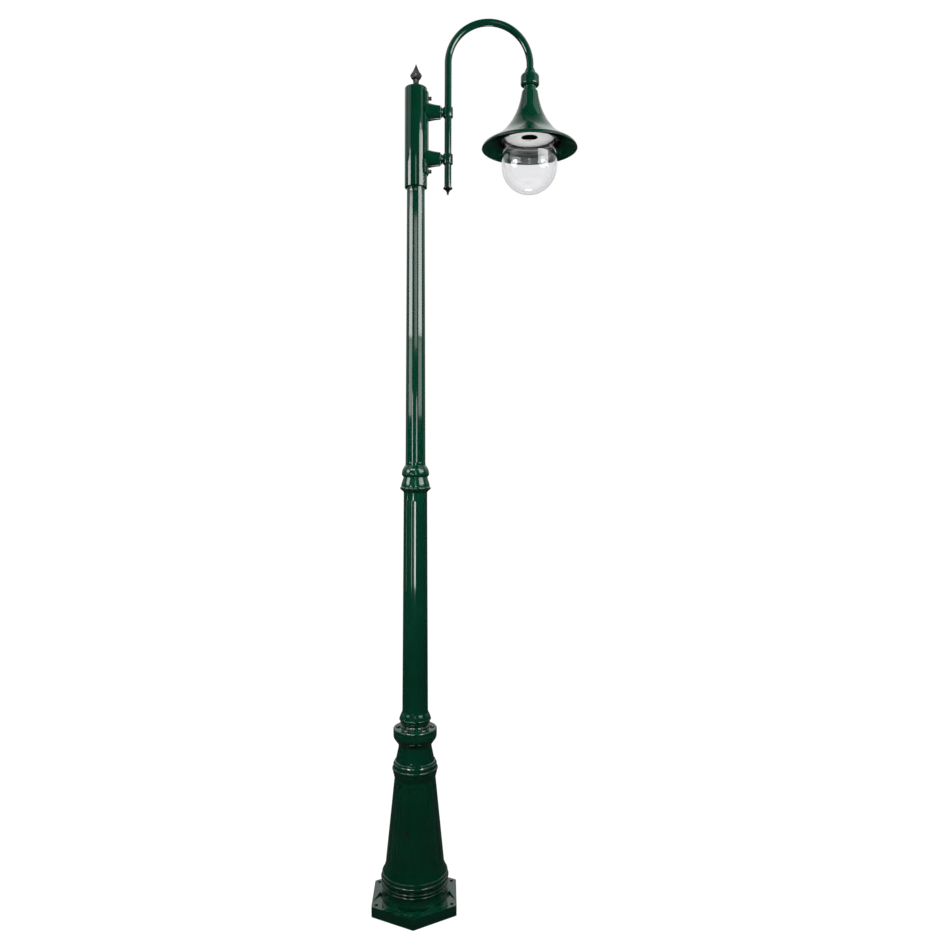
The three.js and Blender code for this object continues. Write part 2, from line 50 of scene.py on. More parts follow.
# ---------------------------------------------------------------- camera, stage and light

CAMERA_AT = (90.85, -2614.85, 1486.96)
CAMERA_YAW = math.radians(2.148)       # to the right
CAMERA_PITCH = math.radians(-2.173)    # downward
CAMERA_ROLL = math.radians(-0.234)
CAMERA_LENS = 31.19


def make_camera():
    data = bpy.data.cameras.new("camera")
    data.lens = CAMERA_LENS
    data.sensor_width = 36
    data.clip_end = 200
    yaw, pitch, roll = CAMERA_YAW, CAMERA_PITCH, CAMERA_ROLL
    forward = Vector((math.sin(yaw) * math.cos(pitch), math.cos(yaw) * math.cos(pitch), math.sin(pitch)))
    level = Vector((math.cos(yaw), -math.sin(yaw), 0))
    upright = level.cross(forward)
    right = level * math.cos(roll) - upright * math.sin(roll)
    up = level * math.sin(roll) + upright * math.cos(roll)
    turn = Matrix((right, up, -forward)).transposed().to_4x4()
    camera = bpy.data.objects.new("camera", data)
    camera.matrix_world = Matrix.Translation(Vector(CAMERA_AT) * MM) @ turn
    bpy.context.scene.collection.objects.link(camera)
    bpy.context.scene.camera = camera


def make_light(name, at, aim, width, length, radiance, spread):
    data = bpy.data.lights.new(name, "AREA")
    data.shape = "RECTANGLE"
    data.size = width
    data.size_y = length
    data.energy = radiance * math.pi * width * length
    data.spread = math.radians(spread)
    light = bpy.data.objects.new(name, data)
    light.location = at
    light.rotation_euler = (Vector(aim) - Vector(at)).to_track_quat("-Z", "Y").to_euler()
    light.visible_camera = False
    bpy.context.scene.collection.objects.link(light)


def softbox(name, azimuth, distance, height, aim, width, length, radiance, spread):
    """A light aimed at the post's axis. Azimuth 0 is the camera's side, and grows to the right."""
    turn = math.radians(azimuth)
    at = (distance * math.sin(turn), -distance * math.cos(turn), height)
    make_light(name, at, (0, 0, aim), width, length, radiance, spread)


def seen_straight(nodes, links):
    """1 where the paper is seen directly or through the glass, and 0 where something reflects it."""
    path = nodes.new("ShaderNodeLightPath")
    either = nodes.new("ShaderNodeMath")
    either.operation = "MAXIMUM"
    links.new(path.outputs["Is Camera Ray"], either.inputs[0])
    links.new(path.outputs["Is Transmission Ray"], either.inputs[1])
    return either.outputs[0]


# The reflected room's strength, as the product of a fade along each axis of the direction looked in:
# where the fade starts and stops, and its value at each.
ROOM_FADES = (
    ("Y", -0.05, 0.7, 0.006, 1.0),
    ("Z", 0.05, 0.5, 0.22, 1.0),
)


def make_world():
    """A studio that the camera sees as white paper, and that the object reflects as a dark room."""
    world = bpy.data.worlds.new("studio")
    world.use_nodes = True
    bpy.context.scene.world = world
    nodes, links = world.node_tree.nodes, world.node_tree.links
    nodes.clear()
    out = nodes.new("ShaderNodeOutputWorld")
    seen = nodes.new("ShaderNodeBackground")
    seen.inputs["Color"].default_value = (1, 1, 1, 1)
    room = nodes.new("ShaderNodeBackground")
    place = nodes.new("ShaderNodeTexCoord")
    split = nodes.new("ShaderNodeSeparateXYZ")
    links.new(place.outputs["Generated"], split.inputs[0])
    parts = []
    for axis, start, stop, low, high in ROOM_FADES:
        part = nodes.new("ShaderNodeMapRange")
        part.interpolation_type = "SMOOTHSTEP"
        for key, value in (("From Min", start), ("From Max", stop), ("To Min", low), ("To Max", high)):
            part.inputs[key].default_value = value
        links.new(split.outputs[axis], part.inputs["Value"])
        parts.append(part.outputs["Result"])
    product = nodes.new("ShaderNodeMath")
    product.operation = "MULTIPLY"
    links.new(parts[0], product.inputs[0])
    links.new(parts[1], product.inputs[1])
    links.new(product.outputs[0], room.inputs["Strength"])
    mix = nodes.new("ShaderNodeMixShader")
    links.new(seen_straight(nodes, links), mix.inputs["Fac"])
    links.new(room.outputs[0], mix.inputs[1])
    links.new(seen.outputs[0], mix.inputs[2])
    links.new(mix.outputs[0], out.inputs["Surface"])


FLOOR_SIZE = 60


def make_floor():
    bpy.ops.mesh.primitive_plane_add(size=FLOOR_SIZE)
    floor = bpy.context.object
    floor.name = "floor"
    paper = bpy.data.materials.new("paper")
    paper.use_nodes = True
    nodes, links = paper.node_tree.nodes, paper.node_tree.links
    matt = nodes["Principled BSDF"]
    matt.inputs["Base Color"].default_value = (0.05, 0.05, 0.05, 1)
    matt.inputs["Roughness"].default_value = 0.9
    matt.inputs["Specular IOR Level"].default_value = 0.1
    lit = nodes.new("ShaderNodeEmission")
    lit.inputs["Color"].default_value = (1, 1, 1, 1)
    lit.inputs["Strength"].default_value = 1.0
    seen = nodes.new("ShaderNodeAddShader")
    mix = nodes.new("ShaderNodeMixShader")
    links.new(matt.outputs[0], seen.inputs[0])
    links.new(lit.outputs[0], seen.inputs[1])
    links.new(seen_straight(nodes, links), mix.inputs["Fac"])
    links.new(matt.outputs[0], mix.inputs[1])
    links.new(seen.outputs[0], mix.inputs[2])
    links.new(mix.outputs[0], nodes["Material Output"].inputs["Surface"])
    floor.data.materials.append(paper)


SOFTBOXES = (
    # name         azimuth  distance  height   aim   width  length  radiance  spread
    ("left_box",       -68,      2.5,   2.55,  2.55,  1.36,   0.80,      2.7,    100),
    ("left_tip",       -60,      2.5,   2.99,  2.99,  0.60,   0.08,      2.2,    100),
    ("left_fade",      -66,      2.5,   1.90,  1.90,  0.90,   0.46,      0.9,    100),
    ("right_box",       57,      2.5,   2.72,  2.72,  1.95,   1.12,      2.6,    100),
    ("right_tip",       49,      2.5,   3.32,  3.32,  0.70,   0.07,      2.2,    100),
    ("right_fade",      54,      2.5,   1.90,  1.90,  1.10,   0.46,      0.8,    100),
    ("camera_side",      1,      3.0,   2.58,  1.90,  0.50,   0.86,     0.25,     60),
    ("low_left",       -36,      2.4,   1.58,  1.55,  0.45,   0.44,      0.2,     30),
    ("low_middle",       5,      2.8,   1.58,  1.55,  0.45,   0.44,      0.2,     30),
    ("knee_left",      -82,      2.4,   0.90,  1.22,  0.26,   0.55,      0.2,     30),
    ("knee_middle",    -20,      2.4,   0.92,  1.22,  0.42,   0.55,     0.34,     30),
)
PANELS = (
    # name            at                  aim              width  length  radiance  spread
    ("window_left",   (-1.9, -2.2, 3.9),  (0, 0, 0.3),       1.1,    0.8,      0.7,     40),
    ("window_middle", (-0.7, -2.8, 4.0),  (0, 0, 0.3),       1.1,    0.7,      0.7,     40),
    ("window_right",  (2.0, -2.1, 3.9),   (0, 0, 0.3),       1.3,    0.6,      0.7,     40),
    ("over_left",     (-2.6, -0.8, 4.7),  (0.2, 0, 2.4),     2.6,    3.4,     0.62,    180),
    ("over_right",    (3.0, -0.8, 4.7),   (0.3, 0, 2.4),     2.6,    3.4,     0.62,    180),
    ("bounce",        (0.45, 1.6, 0.02),  (0.356, 0, 2.4),   0.9,    0.9,      0.3,     30),
)


def make_lights():
    for row in SOFTBOXES:
        softbox(*row)
    for row in PANELS:
        make_light(*row)


# ---------------------------------------------------------------- materials

def shader_of(name, color, roughness, metallic=0.0, coat=0.0):
    """A new material and its shader, with the values that don't vary over the surface."""
    material = bpy.data.materials.new(name)
    material.use_nodes = True
    shader = material.node_tree.nodes["Principled BSDF"]
    shader.inputs["Base Color"].default_value = (*color, 1)
    shader.inputs["Roughness"].default_value = roughness
    shader.inputs["Metallic"].default_value = metallic
    shader.inputs["Coat Weight"].default_value = coat
    shader.inputs["Coat Roughness"].default_value = 0.04
    return material, shader


def noise(material, scale, detail):
    """A noise texture in the object's own metres, so its grain keeps one size on every piece."""
    nodes, links = material.node_tree.nodes, material.node_tree.links
    place = nodes.new("ShaderNodeTexCoord")
    grain = nodes.new("ShaderNodeTexNoise")
    grain.inputs["Scale"].default_value = scale
    grain.inputs["Detail"].default_value = detail
    links.new(place.outputs["Object"], grain.inputs["Vector"])
    return grain.outputs["Fac"]


def ramp(material, fac, low, high):
    """Blends from one colour to the other over the middle of a 0 to 1 value."""
    nodes, links = material.node_tree.nodes, material.node_tree.links
    node = nodes.new("ShaderNodeValToRGB")
    node.color_ramp.elements[0].position = 0.35
    node.color_ramp.elements[1].position = 0.65
    node.color_ramp.elements[0].color = (*low, 1)
    node.color_ramp.elements[1].color = (*high, 1)
    links.new(fac, node.inputs["Fac"])
    return node.outputs["Color"]


def spread(material, fac, low, high):
    """Maps a 0 to 1 value onto low to high."""
    nodes, links = material.node_tree.nodes, material.node_tree.links
    node = nodes.new("ShaderNodeMapRange")
    node.inputs["To Min"].default_value = low
    node.inputs["To Max"].default_value = high
    links.new(fac, node.inputs["Value"])
    return node.outputs["Result"]


def bump(material, shader, height, strength, distance):
    nodes, links = material.node_tree.nodes, material.node_tree.links
    node = nodes.new("ShaderNodeBump")
    node.inputs["Strength"].default_value = strength
    node.inputs["Distance"].default_value = distance
    links.new(height, node.inputs["Height"])
    links.new(node.outputs["Normal"], shader.inputs["Normal"])


def coat_of_paint(name, dark, light, roughness, peel):
    """Sprayed gloss paint: a slight change of tone, an uneven gloss and a fine orange peel."""
    material, shader = shader_of(name, dark, roughness, 0.0, 0.35)
    links = material.node_tree.links
    links.new(ramp(material, noise(material, 9, 3), dark, light), shader.inputs["Base Color"])
    gloss = spread(material, noise(material, 30, 2), roughness - 0.02, roughness + 0.03)
    links.new(gloss, shader.inputs["Roughness"])
    bump(material, shader, noise(material, 260, 2), peel, 0.0002)
    return material


def metal(name, color, roughness):
    """Bare metal, slightly dulled in patches."""
    material, shader = shader_of(name, color, roughness, 1.0)
    links = material.node_tree.links
    worn = tuple(c * 0.55 for c in color)
    links.new(ramp(material, noise(material, 160, 5), worn, color), shader.inputs["Base Color"])
    gloss = spread(material, noise(material, 90, 4), roughness - 0.1, roughness + 0.15)
    links.new(gloss, shader.inputs["Roughness"])
    bump(material, shader, noise(material, 900, 3), 0.15, 0.0003)
    return material


def enamel():
    """The reflector's stoved white, a little uneven."""
    material, shader = shader_of("reflector_enamel", (0.86, 0.85, 0.82), 0.35, 0.0, 0.2)
    links = material.node_tree.links
    tone = ramp(material, noise(material, 22, 4), (0.84, 0.83, 0.79), (0.9, 0.89, 0.87))
    links.new(tone, shader.inputs["Base Color"])
    bump(material, shader, noise(material, 260, 2), 0.08, 0.0005)
    return material


def moulding(name, color, roughness):
    """Dark plastic or rubber with a little paler dust on it."""
    material, shader = shader_of(name, color, roughness)
    links = material.node_tree.links
    pale = tuple(min(1.0, c * 1.7 + 0.004) for c in color)
    links.new(ramp(material, noise(material, 60, 6), color, pale), shader.inputs["Base Color"])
    gloss = spread(material, noise(material, 120, 4), roughness - 0.08, roughness + 0.1)
    links.new(gloss, shader.inputs["Roughness"])
    bump(material, shader, noise(material, 700, 3), 0.12, 0.0004)
    return material


def clear_glass():
    """Clear glass that has the faint waves of a blown globe."""
    material, shader = shader_of("globe_glass", (0.94, 0.94, 0.95), 0.0)
    shader.inputs["Transmission Weight"].default_value = 1.0
    shader.inputs["IOR"].default_value = 1.47
    links = material.node_tree.links
    tone = ramp(material, noise(material, 14, 2), (0.932, 0.932, 0.948), (0.945, 0.945, 0.958))
    links.new(tone, shader.inputs["Base Color"])
    bump(material, shader, noise(material, 11, 1), 0.05, 0.001)
    return material


GREEN_DARK = (0.0018, 0.050, 0.0255)
GREEN_LIGHT = (0.0026, 0.063, 0.033)
BLACK_DARK = (0.008, 0.008, 0.0095)
BLACK_LIGHT = (0.014, 0.014, 0.016)
MATERIALS = {
    "paint": coat_of_paint("green_paint", GREEN_DARK, GREEN_LIGHT, 0.07, 0.02),
    "finial_black": coat_of_paint("black_paint", BLACK_DARK, BLACK_LIGHT, 0.22, 0.08),
    "fasteners": metal("zinc_steel", (0.33, 0.34, 0.36), 0.42),
    "contacts": metal("brass", (0.62, 0.42, 0.14), 0.32),
    "reflector_white": enamel(),
    "lampholder": moulding("phenolic", (0.012, 0.0095, 0.008), 0.38),
    "gasket": moulding("sealing_rubber", (0.012, 0.012, 0.012), 0.75),
    "globe_glass": clear_glass(),
}

# ---------------------------------------------------------------- mesh tools

NODE_SLOT = {part["node"]: part["material_slot"] for part in frame["record"]["subparts"]}
BODIES = frame["record"]["behaviour"]["bodies"]
NODE_BODY = {node: body for body, members in BODIES.items() for node in members}


def arc(r, z, radius, start, stop, steps):
    """Points of a circular arc in a (radius, height) profile, in degrees from +radius."""
    angles = [math.radians(start + (stop - start) * i / steps) for i in range(steps + 1)]
    return [(r + radius * math.cos(a), z + radius * math.sin(a)) for a in angles]


def bend(start, control, stop, steps):
    """A curve from start to stop that leaves and arrives along its control point."""
    a, b, c = (np.array(p, float) for p in (start, control, stop))
    return [tuple((1 - t) ** 2 * a + 2 * t * (1 - t) * b + t * t * c) for t in np.linspace(0, 1, steps + 1)]


SHARP = math.radians(35)    # a steeper edge is drawn sharp


def make_object(name, points, faces):
    """A smooth-shaded mesh of points in millimetres, with its repeated points merged."""
    mesh = bpy.data.meshes.new(name)
    mesh.from_pydata([tuple(float(v) * MM for v in p) for p in points], [], faces)
    work = bmesh.new()
    work.from_mesh(mesh)
    bmesh.ops.remove_doubles(work, verts=work.verts, dist=1e-7)
    bmesh.ops.dissolve_degenerate(work, edges=work.edges, dist=1e-8)
    bmesh.ops.recalc_face_normals(work, faces=work.faces)
    work.to_mesh(mesh)
    work.free()
    mesh.shade_smooth()
    mesh.set_sharp_from_angle(angle=SHARP)
    thing = bpy.data.objects.new(name, mesh)
    bpy.context.scene.collection.objects.link(thing)
    return thing


def grid_faces(rows, cols, wrap_rows):
    """The four-sided faces between rows of points, each row a closed ring."""
    faces = []
    for i in range(rows if wrap_rows else rows - 1):
        for j in range(cols):
            a, b = i * cols + j, i * cols + (j + 1) % cols
            c, d = ((i + 1) % rows) * cols + (j + 1) % cols, ((i + 1) % rows) * cols + j
            faces.append((a, b, c, d))
    return faces


def revolve(name, profile, cols=96, shape=None, at=(0, 0), angles=None):
    """Turns a (radius, height) profile round Z. One with an end off the axis closes on itself.
    shape(angle, radius, height, row) gives the radius there, for flutes, flats and facets."""
    closed = profile[0][0] > 0 or profile[-1][0] > 0
    angles = np.arange(cols) * TAU / cols if angles is None else np.array(angles)
    points = []
    for row, (r, z) in enumerate(profile):
        for a in angles:
            rr = shape(a, r, z, row) if shape else r
            points.append((at[0] + rr * math.cos(a), at[1] + rr * math.sin(a), z))
    return make_object(name, points, grid_faces(len(profile), len(angles), closed))


def fluted(first_row, last_row, spec):
    """Round-ended flutes on a turned shaft, as the shape and the angles that revolve takes.
    In the spec, low and high are the heights of the flutes' ends, and half is half their width in degrees."""
    count, low, high, depth = spec["count"], spec["low"], spec["high"], spec["depth"]
    pitch = TAU / count
    half = math.radians(spec["half"])
    inside = np.linspace(-1, 1, 17)
    arris = np.array([1.03, 1.08])
    span = np.concatenate([-arris[::-1], inside, arris]) * half
    span = np.concatenate([span, [pitch / 2]])
    angles = np.concatenate([math.radians(spec["phase"]) + k * pitch + span for k in range(count)])
    offset = np.tile(span, count)
    by_angle = {round(float(a), 9): float(o) for a, o in zip(angles, offset)}

    def shape(a, r, z, row):
        if not first_row <= row <= last_row:
            return r
        width = r * half
        beyond = max(0.0, low + width - z, z - (high - width))
        far = math.hypot(by_angle[round(float(a), 9)] * r, beyond)
        if far >= width:
            return r
        bow = (width * width + depth * depth) / (2 * depth)
        return r - (math.sqrt(bow * bow - far * far) - (bow - depth))

    return shape, angles


def flute_heights(low, high, width):
    """Rows for a fluted stretch: close together at its round ends, far apart between."""
    steps = 22
    ease = [width * (1 - math.cos(math.pi * i / (2 * steps))) for i in range(steps + 1)]
    middle = np.linspace(low + width, high - width, 12)[1:-1]
    return sorted({round(v, 4) for v in [*(low + e for e in ease), *middle, *(high - e for e in ease)]})


def along_x(thing, at):
    """Lays a piece that was turned round Z down along +X, and moves it to at."""
    turn = Matrix.Translation(Vector(at) * MM) @ Matrix.Rotation(math.pi / 2, 4, "Y")
    thing.data.transform(turn)
    return thing


def join(name, things):
    """One object of several closed shells."""
    for thing in bpy.context.selected_objects:
        thing.select_set(False)
    for thing in things:
        thing.select_set(True)
    bpy.context.view_layer.objects.active = things[0]
    bpy.ops.object.join()
    things[0].name = name
    things[0].data.name = name
    return things[0]


def settle(thing, *nodes):
    """Gives a piece its finish, body and slot from the CAD nodes that it stands for."""
    slot = NODE_SLOT[nodes[0]]
    thing.data.materials.clear()
    thing.data.materials.append(MATERIALS[slot])
    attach(thing, NODE_BODY[nodes[0]])
    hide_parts(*nodes)


LEAST_TURN = 25    # degrees; an outline's gentler corners belong to its curves


def soften(points, radius, closed, steps=3):
    """Rounds the corners of an outline, and leaves its curves alone."""
    points = [np.array(p, float) for p in points]
    count, out = len(points), []
    for i, here in enumerate(points):
        if not closed and i in (0, count - 1):
            out.append(tuple(here))
            continue
        back, ahead = points[i - 1] - here, points[(i + 1) % count] - here
        a, b = np.linalg.norm(back), np.linalg.norm(ahead)
        turn = 180 - math.degrees(math.acos(max(-1, min(1, float(back @ ahead) / (a * b)))))
        if turn < LEAST_TURN:
            out.append(tuple(here))
            continue
        reach = min(radius, a * 0.45, b * 0.45)
        start, stop = here + back / a * reach, here + ahead / b * reach
        for t in np.linspace(0, 1, steps + 1):
            out.append(tuple((1 - t) ** 2 * start + 2 * t * (1 - t) * here + t * t * stop))
    return out


def turned(name, profile, cols=96, edge=0.6, at=(0, 0)):
    """A lathe piece with its corners eased. A profile that starts off the axis closes on itself."""
    return revolve(name, soften(profile, edge, profile[0][0] > 0), cols, at=at)


def facets(sides, phase=0.0, keep=0.985):
    """The shape of a regular prism with a corner at phase degrees, and the angles that revolve takes for it.
    The corners are cut back to keep times their radius, so that they catch the light."""
    step = TAU / sides
    start = math.radians(phase)

    def shape(a, r, z, row):
        off = (a - start) % step - step / 2
        return min(r * math.cos(step / 2) / math.cos(off), r * keep)

    near = step * 0.03
    offsets = (-2 * near, -near, 0, near, 2 * near, step / 2)
    angles = [start + k * step + d for k in range(sides) for d in offsets]
    return shape, sorted(a % TAU for a in angles)


def on_rows(shape, *rows):
    """Gives the shape to some rows of a profile, and leaves the others round."""
    return lambda a, r, z, row: shape(a, r, z, row) if row in rows else r


def loft(name, loops):
    """Joins loops of equal length, in order, and closes the two ends."""
    cols = len(loops[0])
    points = [p for loop in loops for p in loop]
    faces = grid_faces(len(loops), cols, False)
    last = (len(loops) - 1) * cols
    faces += [tuple(range(cols))[::-1], tuple(range(last, last + cols))]
    return make_object(name, points, faces)


def carve(thing, cutters, edge=0.0, steps=3):
    """Cuts the cutters away and rounds the edges that are left."""
    for cutter in cutters:
        cut = thing.modifiers.new("cut", "BOOLEAN")
        cut.operation = "DIFFERENCE"
        cut.solver = "EXACT"
        cut.object = cutter
    if edge:
        rim = thing.modifiers.new("edge", "BEVEL")
        rim.limit_method = "ANGLE"
        rim.angle_limit = math.radians(32)
        rim.width = edge * MM
        rim.segments = steps
        rim.harden_normals = True
        thing.data.shade_smooth()
    bpy.context.view_layer.update()
    graph = bpy.context.evaluated_depsgraph_get()
    mesh = bpy.data.meshes.new_from_object(thing.evaluated_get(graph))
    thing.modifiers.clear()
    thing.data = mesh
    if not edge:
        mesh.shade_smooth()
        mesh.set_sharp_from_angle(angle=SHARP)
    for cutter in cutters:
        bpy.data.objects.remove(cutter)
    return thing


def rod(name, r, z0, z1, cols, at=(0, 0)):
    return revolve(name, [(0, z0), (r, z0), (r, z1), (0, z1)], cols, at=at)


def spun(thing, degrees):
    """Turns a piece about the post's axis."""
    thing.data.transform(Matrix.Rotation(math.radians(degrees), 4, "Z"))
    return thing


def shifted(thing, x, y, z):
    """Moves a piece by millimetres."""
    thing.data.transform(Matrix.Translation(Vector((x, y, z)) * MM))
    return thing


# ---------------------------------------------------------------- base

FOOT_R, FOOT_H, FOOT_TOP = 154.5, 33.3, 42.3
ANCHOR_R, ANCHOR_PCR = 6, 137
CORNER_EASE = 3.2
BASE_FLUTES = {"count": 18, "phase": -90, "half": 7.4, "low": 158, "high": 403, "depth": 2.0}


def hexagon(name, levels):
    """A six-sided stack of (corner radius, height) levels with one corner towards -Y."""
    turns = [math.radians(-90 + 60 * i) for i in range(6)]
    loops = []
    for r, z in levels:
        plan = soften([(r * math.cos(a), r * math.sin(a)) for a in turns], CORNER_EASE, True, steps=4)
        loops.append([(x, y, z) for x, y in plan])
    return loft(name, loops)


def corner_recess(angle):
    """The wedge with sloping walls that clears one ground bolt."""
    plan = [(100, 44), (146, 19), (162, 11)]
    loops = []
    for z, flare in ((FOOT_H, 0), (FOOT_TOP + 2, 9)):
        loops.append([(u, v + flare, z) for u, v in plan] + [(u, -v - flare, z) for u, v in reversed(plan)])
    return spun(loft("recess", loops), angle)


def foot():
    """The hexagonal foot, with its six recesses and bolt holes and the hollow under the pedestal."""
    block = hexagon("foot", [
        (FOOT_R, 0), (FOOT_R, FOOT_H), (FOOT_R - 2, FOOT_H + 0.01), (FOOT_R - 28, FOOT_TOP),
    ])
    corners = [-90 + 60 * i for i in range(6)]
    cutters = [corner_recess(a) for a in corners]
    cutters += [spun(rod("hole", ANCHOR_R, -1, FOOT_H + 1, 40, (ANCHOR_PCR, 0)), a) for a in corners]
    cutters.append(rod("hollow", 94.2, -1, 36, 96))
    return carve(block, cutters, 1.1)


SHAFT_EASE = 0.5


def fluted_shaft(name, profile, start, spec):
    """A turned shaft whose profile is straight and fluted between its points start and start + 1."""
    (r0, z0), (r1, z1) = profile[start:start + 2]
    width = math.radians(spec["half"]) * (r0 + r1) / 2
    stretch = [
        (r0 + (r1 - r0) * (z - z0) / (z1 - z0), z)
        for z in flute_heights(spec["low"], spec["high"], width) if z0 < z < z1
    ]
    before = soften(profile[:start + 1], SHAFT_EASE, False)
    after = soften(profile[start + 1:], SHAFT_EASE, False)
    shape, angles = fluted(len(before) - 1, len(before) + len(stretch), spec)
    return revolve(name, before + stretch + after, shape=shape, angles=angles)


def base_casting():
    outer = [
        (100, 34), (107, 34), (107, 42.2), (104, 46), (103, 50), (103, 64.6), *arc(102.6, 68, 3, -50, 50, 8),
        (103, 71.5), (103.4, 75.4), *arc(103.2, 79, 3.4, -50, 50, 8), (103.2, 82.6),
        *arc(101.5, 95.5, 7, -65, 65, 14), (105.7, 103.5), (105.4, 106), (105, 112), (102.6, 113),
        *bend((101.6, 116), (99.4, 122), (94.1, 135.5), 8),
    ]
    start = len(outer) - 1
    outer += [
        (66.4, 410), (65.2, 414), (67.2, 421), (68.6, 429), (70.4, 434), (70.4, 437),
        *arc(67, 445.5, 6, -50, 62, 12), (69.8, 453), (69.4, 462), (66.6, 465), (65.8, 470), (62, 471),
        (59.8, 482), (52.9, 515), (52.9, 521), *bend((54, 525), (60.5, 534), (64, 539), 6),
        *bend((65.4, 541), (69.5, 546), (69.5, 554), 6), (69.5, 562.85), (30, 562.85), (30, 551), (44, 551),
        (44, 515), (53, 465), (57.5, 410), (85, 130), (94, 60), (94, 35.5),
    ]
    pedestal = fluted_shaft("pedestal", outer, start, BASE_FLUTES)
    settle(join("base_casting_look", [foot(), pedestal]), "base_casting")


PLUG_Z, PLUG_TURN = 260, -111


def base_plug():
    outline = [(0, 70), (6.2, 70), (6.2, 80.4), (5.4, 81.2), (3.2, 81.2), (2.6, 80.6), (2.2, 79.2), (0, 79)]
    plug = along_x(revolve("base_plug_look", soften(outline, 0.3, False), 48), (0, 0, PLUG_Z))
    settle(spun(plug, PLUG_TURN), "base_plug")


# ---------------------------------------------------------------- posts

LOWER_FLUTES = {"count": 12, "phase": -96, "half": 10.6, "low": 652, "high": 1308, "depth": 0.8}
UPPER_FLUTES = {"count": 12, "phase": -90, "half": 11.35, "low": 1423, "high": 2276, "depth": 0.5}
LOWER_GRUB_Z, UPPER_GRUB_Z = 1306, 1442


def grub_hole(z, r):
    """A hole for a grub screw through the +Y side of a wall of outer radius r."""
    return spun(along_x(rod("grub_hole", 3, r - 12, r + 5, 32), (0, 0, z)), 90)


def lower_post():
    outer = [
        (27, 563.15), (69.5, 563.15), (69.5, 574), (67.5, 576.5), (64.5, 577), (46.5, 577), (46.5, 582),
        *arc(43.5, 581, 3.2, 20, 85, 5), (42.4, 586), *bend((43.5, 590), (47, 592), (47.6, 596), 6),
        (46.9, 599), *arc(47.7, 605, 3.2, -60, 55, 10), *bend((49, 611), (46.2, 620), (42.2, 626.5), 8),
        (41.1, 632),
    ]
    start = len(outer) - 1
    outer += [(37.2, 1330.7), (27, 1330.7), (27, 1328)]
    post = fluted_shaft("lower_post_look", outer, start, LOWER_FLUTES)
    settle(carve(post, [grub_hole(LOWER_GRUB_Z, 37)]), "lower_post")


def mid_collar():
    settle(turned("mid_collar_look", [
        (15, 1281), (26.7, 1281), (26.7, 1331), (37.6, 1331), (40.5, 1335),
        *arc(43.2, 1344, 5.4, -60, 70, 14), (45.1, 1352), (44.2, 1358), (38.6, 1376), (37.6, 1379.3),
        (41.6, 1384), *bend((43.2, 1388), (43.4, 1404), (32.2, 1416.4), 14), (32, 1417), (21.7, 1417),
        (21.7, 1467), (15, 1467),
    ], 120), "mid_collar")


def upper_post():
    outer = [(22, 1420), (22, 1417.3), (31.8, 1417.3), (28.2, 2285), (28.2, 2580.2), (22, 2580.2)]
    post = fluted_shaft("upper_post_look", outer, 2, UPPER_FLUTES)
    settle(carve(post, [grub_hole(UPPER_GRUB_Z, 31.7)]), "upper_post")


def grub_screw(node, z, inner, outer):
    """A headless screw with a six-sided socket, in a wall's +Y side between the two radii."""
    socket, angles = facets(6)
    outline = [
        (0, inner), (2.6, inner), (2.6, outer - 0.4), (2.2, outer), (1.5, outer), (1.5, outer - 2),
        (0, outer - 2),
    ]
    screw = revolve(node + "_look", outline, angles=angles, shape=on_rows(socket, 4, 5))
    settle(spun(along_x(screw, (0, 0, z)), 90), node)


def button_head(name, r, height, shank, length, socket_r, at=(0, 0), z=0.0):
    """A screw standing on z with a domed head and a six-sided socket."""
    outline = [
        (0, z - length), (shank * 0.8, z - length), (shank, z - length + 0.6), (shank, z),
        (r * 0.96, z), (r, z + 0.4),
        *bend((r, z + height * 0.45), (r * 0.92, z + height * 0.92), (r * 0.62, z + height), 6),
        (socket_r * 1.16, z + height), (socket_r, z + height * 0.92), (socket_r, z + height * 0.45),
        (0, z + height * 0.4),
    ]
    flats, angles = facets(6, keep=1.0)
    quarter_flat = 0.26
    angles = sorted([*angles, *(a + quarter_flat for a in angles[::6])])
    socket = on_rows(flats, len(outline) - 3, len(outline) - 2)
    return revolve(name, outline, angles=angles, at=at, shape=socket)


def foot_screws():
    for i in range(6):
        node = f"foot_screw_{i + 1}"
        screw = button_head(node + "_look", r=7, height=4.4, shank=4, length=30, socket_r=2.7,
                            at=(54.5, 0), z=577.3)
        settle(spun(screw, 60 * i), node)


# ---------------------------------------------------------------- sleeve bracket

BOLT_Z = {"upper": 2561, "lower": 2336}
ARM_Z = {"upper": 2519, "lower": 2375}
TUBE_X, LAMP_X = 100, 356


def bracket_sleeve():
    settle(turned("bracket_sleeve_look", [
        (28.8, 2285), (35, 2285), *arc(30, 2588, 5, 0, 90, 10), (4.3, 2593), (4.3, 2580.5), (28.8, 2580.5),
    ], 120, 0.9), "bracket_sleeve")


PLATE_HALF, PLATE_INNER = 27.5, 35.3


def saddle_plate():
    """A strip of tube wall between two upright edges, chamfered at top and bottom."""

    def curve(r, start, stop, z):
        return [(r * math.cos(a), r * math.sin(a), z) for a in np.linspace(start, stop, 41)]

    root = math.asin(PLATE_HALF / PLATE_INNER)
    heights = np.linspace(2360, 2545, 5)
    loops = []
    for outer, z in [(38, 2325), (40, 2328), *((40, float(z)) for z in heights), (40, 2577), (38, 2580)]:
        edge = math.asin(PLATE_HALF / outer)
        loops.append(curve(outer, -edge, edge, z) + curve(PLATE_INNER, root, -root, z))
    settle(carve(loft("saddle_plate_look", loops), [], 0.9), "saddle_plate")


